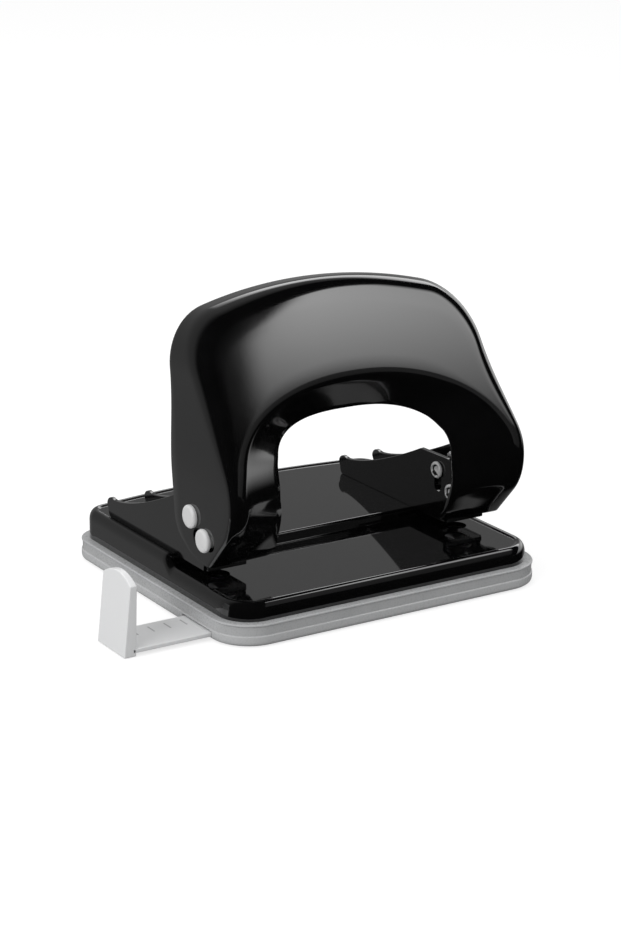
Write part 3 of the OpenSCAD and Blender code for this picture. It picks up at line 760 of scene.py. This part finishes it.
def makeSpring(s, name, node):  # a conical coil that lies flat at both ends
    shape = springShape
    radius, sides, count = shape["wire"] / 2, shape["sides"], round(shape["turns"] * shape["steps"])
    low, high = shape["foot"] + radius, shape["top"] - radius
    flat = 0.5 / shape["turns"]
    rows = []
    for i in range(count + 1):
        f, turn = i / count, 2 * math.pi * shape["turns"] * i / count
        reach = (shape["footWidth"] + (shape["topWidth"] - shape["footWidth"]) * f) / 2 - radius
        height = low + (high - low) * smoothStep((f - flat / 2) / (1 - flat))
        rows.append([(s * holeX + (reach + radius * math.cos(q)) * math.cos(turn),
                      holeY + (reach + radius * math.cos(q)) * math.sin(turn), height + radius * math.sin(q))
                     for q in (2 * math.pi * (k % sides) / sides for k in range(sides + 1))])
    ends = [[tuple(sum(c) / sides for c in zip(*row[:-1]))] * (sides + 1) for row in (rows[0], rows[-1])]
    spring = loftGrid(name, [ends[0]] + rows + [ends[1]])
    shade(spring, 40)
    seat(spring, "base", steel, [node])
    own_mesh(spring)


makeSpring(-1, "leftSpring", "left_return_spring")
makeSpring(1, "rightSpring", "right_return_spring")
print("return springs made")


# chip tray

trayShape = {"height": 6.3, "proud": 2.4, "lip": 0.9, "lipIn": 1.5, "lipWall": 1.0, "wall": 2.0,
             "floor": 0.8, "band": 3.02, "railWidth": 1.2, "railHeight": 1.8, "railRoot": 0.3,
             "railRound": 0.2, "railX": (-47.5, 28.5), "railY": (-35.0, -18.2),
             "slotReach": 4, "slotY": (-34.4, -18.8), "slotZ": (0.82, 2.6)}


def trayProfile():  # (distance inwards from the base's side, height), from the bottom round to the floor
    shape = trayShape
    out, tall, band = -shape["proud"], shape["height"], shape["band"]
    lip, inner = shape["lipIn"], shape["wall"] - shape["proud"]
    lipTop, lipEnd = tall + shape["lip"], lip + shape["lipWall"]
    return [(out + 1.7, 0.0), (out + 1.2, 0.03), (out + 0.75, 0.16), (out + 0.38, 0.42), (out + 0.12, 0.8),
            (out, 1.3), (out, band - 0.3), (out + 0.04, band - 0.12), (out + 0.18, band),
            (out + 0.3, band + 0.08), (out + 0.32, band + 0.3), (out + 0.3, tall - 0.75),
            (out + 0.12, tall - 0.6), (out + 0.02, tall - 0.45), (out + 0.05, tall - 0.2),
            (out + 0.16, tall - 0.05), (out + 0.32, tall), (out + 1.1, tall), (lip - 0.1, tall),
            (lip, tall + 0.1), (lip + 0.1, lipTop), (lipEnd, lipTop), (lipEnd, tall - 1.2),
            (inner, tall - 1.2), (inner, shape["floor"] + 0.3), (inner + 0.4, shape["floor"])]


def makeTray():
    shape = trayShape
    profile = trayProfile()
    rows = [rimLoop(inset, lambda y, z: height) for inset, height in profile]
    tray = loftGrid("chipTray", rows, outwards=False)
    floors = []
    for inset, height in ((profile[0][0], 0.0), (profile[-1][0], shape["floor"])):
        ladder = [[(-x, y, height), (x, y, height)] for x, y, z in planSide(inset)]
        floors.append(loftGrid("trayFloor", ladder, outwards=False))
    tray = joinPieces("chipTray", [tray] + floors)
    tidyShell(tray)
    end, reach = plateShape["length"] / 2, shape["slotReach"]
    boolean(tray, block(-end - reach, -end + reach, *shape["slotY"], *shape["slotZ"]))
    half, low = shape["railWidth"] / 2, shape["floor"] - shape["railRoot"]
    high = shape["floor"] + shape["railHeight"]
    rails = [block(*shape["railX"], y - half, y + half, low, high, "trayRail") for y in shape["railY"]]
    for rail in rails:
        roundEdges(rail, shape["railRound"], 2)
    tray = joinPieces("chipTray", [tray] + rails)
    shade(tray, 38)
    return seat(tray, "tray", trayPlastic, ["chip_tray"])


makeTray()
print("chip tray made")


# paper guide

guideShape = {"set": 75.0, "length": 99.0, "y": -26.6, "width": 15.0, "thickness": 1.2, "stripZ": 0.9,
              "height": 22.0, "lift": 2.4, "lean": 2.2, "wall": 1.9, "footOut": 3.6, "crownReach": 1.13,
              "crownSteps": 24, "stripRound": 0.25, "uprightRound": 0.3}


def makeGuide():
    shape = guideShape
    half, tall, foot, reach = shape["width"] / 2, shape["height"], shape["footOut"], shape["crownReach"]
    strip = block(-shape["set"] - 1, -shape["set"] + shape["length"], shape["y"] - half, shape["y"] + half,
                  shape["stripZ"], shape["stripZ"] + shape["thickness"], "guideStrip")
    roundEdges(strip, shape["stripRound"], 2)
    side = [(0, 0), (-foot, 0), (shape["lean"] - foot, tall), (shape["lean"] - foot + shape["wall"], tall)]
    upright = cutPlate("guideUpright", side, shape["width"],
                       lambda a, b, depth: (-shape["set"] + a, shape["y"] - half + depth, b))
    arch = [(-half - 1, -1), (half + 1, -1)]
    for k in range(shape["crownSteps"] + 1):
        f = reach - 2 * reach * k / shape["crownSteps"]
        arch.append((f * half, tall - shape["lift"] * f * f))
    crown = cutPlate("guideCrown", arch, 8,
                     lambda a, b, depth: (-shape["set"] - 6 + depth, shape["y"] + a, b))
    boolean(upright, crown, "INTERSECT")
    roundEdges(upright, shape["uprightRound"], 3, 35)
    guide = joinPieces("paperGuide", [strip, upright])
    shade(guide, 35)
    return seat(guide, "guide", whitePlastic, ["paper_guide"])


makeGuide()
print("paper guide made")


# carried-over nodes

nodeFinishes = {"left_die_plate": steel, "right_die_plate": steel, "left_fixing_rivets": bracketPaint,
                "right_fixing_rivets": bracketPaint, "left_punch_pin": steel, "right_punch_pin": steel,
                "left_spring_washer": steel, "right_spring_washer": steel}
for node, material in nodeFinishes.items():
    dress(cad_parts[node], material)
print("carried-over nodes dressed:", len(nodeFinishes))


# studio and camera

floorSettings = {"size": 12, "drop": 0.0002, "shade": 0.35, "glow": 0.74}


def makeFloor():
    clearSelection()
    bpy.ops.mesh.primitive_plane_add(size=floorSettings["size"], location=(0, 0, -floorSettings["drop"]))
    floor = bpy.context.object
    floor.name = "studioFloor"
    pale = newFinish("pale floor")
    rays = pale.node("ShaderNodeLightPath")
    matt = pale.node("ShaderNodeBsdfDiffuse", Color=(floorSettings["shade"],) * 3 + (1,))
    glow = pale.node("ShaderNodeEmission", Color=(1, 1, 1, 1), Strength=floorSettings["glow"])
    both = pale.node("ShaderNodeAddShader", in0=matt, in1=glow)
    dress(floor, pale.close(pale.node("ShaderNodeMixShader", in0=rays, in1=matt, in2=both)))
    floor.visible_glossy = False


def hideFromMost(panel):  # seen only in the gloss
    for ray in ("camera", "diffuse", "shadow", "transmission", "volume_scatter"):
        setattr(panel, "visible_" + ray, False)


# strengths, and the directions between which each part of the wall comes up
domeSettings = {"radius": 5.0, "low": 0.004, "rear": 0.185, "rearY": (0.0, 0.45),
                "strip": 1.8, "stripX": (0.25, 0.45), "stripFoot": (0.40, 0.46), "stripTop": (0.72, 0.6),
                "side": 1.1, "sideX": (0.6, 0.95), "sideFoot": (-0.1, 0.15)}


def makeDome():  # what the gloss shows far away: a dim rear wall with a brighter strip, and a dark front
    clearSelection()
    bpy.ops.mesh.primitive_uv_sphere_add(segments=64, ring_count=32, radius=domeSettings["radius"])
    dome = bpy.context.object
    dome.name = "studioDome"
    wall = newFinish("studio walls")
    place = wall.node("ShaderNodeTexCoord", output=3)
    x, y, z = wall.axes(wall.node("ShaderNodeVectorMath", {"operation": "NORMALIZE"}, in0=place))
    rear = wall.smooth(y, *domeSettings["rearY"])
    strip = (wall.smooth(x, *domeSettings["stripX"]) * wall.smooth(z, *domeSettings["stripFoot"])
             * wall.smooth(z, *domeSettings["stripTop"]))
    side = wall.smooth(x, *domeSettings["sideX"]) * wall.smooth(z, *domeSettings["sideFoot"])
    strength = (domeSettings["low"] + rear * (domeSettings["rear"] + strip * domeSettings["strip"])
                + side * domeSettings["side"])
    dress(dome, wall.close(wall.node("ShaderNodeEmission", Color=(1, 1, 1, 1), Strength=strength)))
    hideFromMost(dome)


# a near panel that the leaning face of the lever mirrors; places on it are in metres from its middle
softbox = {"place": (0.13391, -0.14488, 0.2399), "towards": (0.53562, -0.5119, 0.67161), "size": 0.5,
           "strength": 3.6, "leftEdge": -0.0355, "edgeSoftness": 0.006, "edgeSlant": 0.8,
           "slantFrom": 0.004, "rightFade": (0.115, 0.07), "dimFrom": -0.012, "dimTo": 0.047,
           "dimLevel": 0.72, "rowSlant": 0.15, "rowLow": -0.04, "rowHigh": 0.24,
           "rows": ((0, 0.04), (0.04, 0.16), (0.075, 0.38), (0.108, 0.54), (0.143, 0.72), (0.2, 1.0),
                    (0.42, 1.0), (0.58, 0))}


def makeSoftbox():  # bright above and fading below, with a slanting left edge
    clearSelection()
    towards = Vector(softbox["towards"])
    across = (Vector((1, 0, 0)) - towards * towards.x).normalized()
    turn = Matrix((across, towards.cross(across), towards)).transposed().to_euler()
    bpy.ops.mesh.primitive_plane_add(size=softbox["size"], location=softbox["place"], rotation=turn)
    panel = bpy.context.object
    panel.name = "studioSoftbox"
    cloth = newFinish("softbox cloth")
    u, v, depth = cloth.axes(cloth.points())
    raised = cloth.node("ShaderNodeMath", {"operation": "MAXIMUM"}, in0=v - softbox["slantFrom"], in1=0.0)
    edge = u - softbox["leftEdge"] - raised * softbox["edgeSlant"]
    left = cloth.smooth(edge, -softbox["edgeSoftness"], softbox["edgeSoftness"])
    right = cloth.smooth(u, *softbox["rightFade"])
    row = cloth.node("ShaderNodeMapRange", Value=v + u * softbox["rowSlant"],
                     From_Min=softbox["rowLow"], From_Max=softbox["rowHigh"])
    fade = cloth.node("ShaderNodeMapRange", Value=u, From_Min=softbox["dimFrom"],
                      From_Max=softbox["dimTo"], To_Min=1.0, To_Max=softbox["dimLevel"])
    shown = cloth.ramp(row, softbox["rows"]) * left * right * fade
    light = cloth.node("ShaderNodeEmission", Color=(1, 1, 1, 1), Strength=shown * softbox["strength"])
    dress(panel, cloth.close(light))
    hideFromMost(panel)


skyFill = 0.55


def makeSky():  # white behind the object and in its gloss, dimmer as light on it
    bpy.context.scene.world = bpy.data.worlds.new("studioSky")
    sky = Finish(bpy.context.scene.world)
    rays = sky.tree.nodes.new("ShaderNodeLightPath")
    seen = [Socket(sky.tree, rays.outputs[key])
            for key in ("Is Camera Ray", "Is Glossy Ray", "Is Transmission Ray")]
    shown = sky.node("ShaderNodeMath", {"operation": "MAXIMUM"}, in0=seen[0],
                     in1=sky.node("ShaderNodeMath", {"operation": "MAXIMUM"}, in0=seen[1], in1=seen[2]))
    strength = skyFill + (1 - skyFill) * shown
    back = sky.node("ShaderNodeBackground", Color=(1, 1, 1, 1), Strength=strength)
    sky.close(back, "ShaderNodeOutputWorld")


# place, width and power of each lamp
lampSettings = {"windowLamp": ((0.75, -0.75, 0.85), 1.0, 2.8), "leftLamp": ((-1.1, -0.25, 0.6), 0.9, 8.5),
                "topLamp": ((-0.1, 0.3, 1.3), 1.2, 5.0)}


def makeLamps():
    for name, (place, size, power) in lampSettings.items():
        clearSelection()
        bpy.ops.object.light_add(type="AREA", location=place)
        lamp = bpy.context.object
        lamp.name = name
        lamp.data.size = size
        lamp.data.energy = power
        lamp.rotation_euler = (-Vector(place)).to_track_quat("-Z", "Y").to_euler()
        lamp.visible_glossy = False


cameraSettings = {"place": (-0.35779, -0.55551, 0.23994), "turn": (72.467, -0.642, -32.625),
                  "lens": 140.64, "sensor": 36, "nearest": 0.01}


def makeCamera():
    clearSelection()
    bpy.ops.object.camera_add(location=cameraSettings["place"],
                              rotation=[math.radians(angle) for angle in cameraSettings["turn"]])
    camera = bpy.context.object
    camera.data.sensor_width = cameraSettings["sensor"]
    camera.data.sensor_fit = "HORIZONTAL"
    camera.data.lens = cameraSettings["lens"]
    camera.data.clip_start = cameraSettings["nearest"]
    bpy.context.scene.camera = camera


makeFloor()
makeDome()
makeSoftbox()
makeSky()
makeLamps()
makeCamera()
bpy.context.scene.view_settings.view_transform = "Standard"
print("studio and camera made")
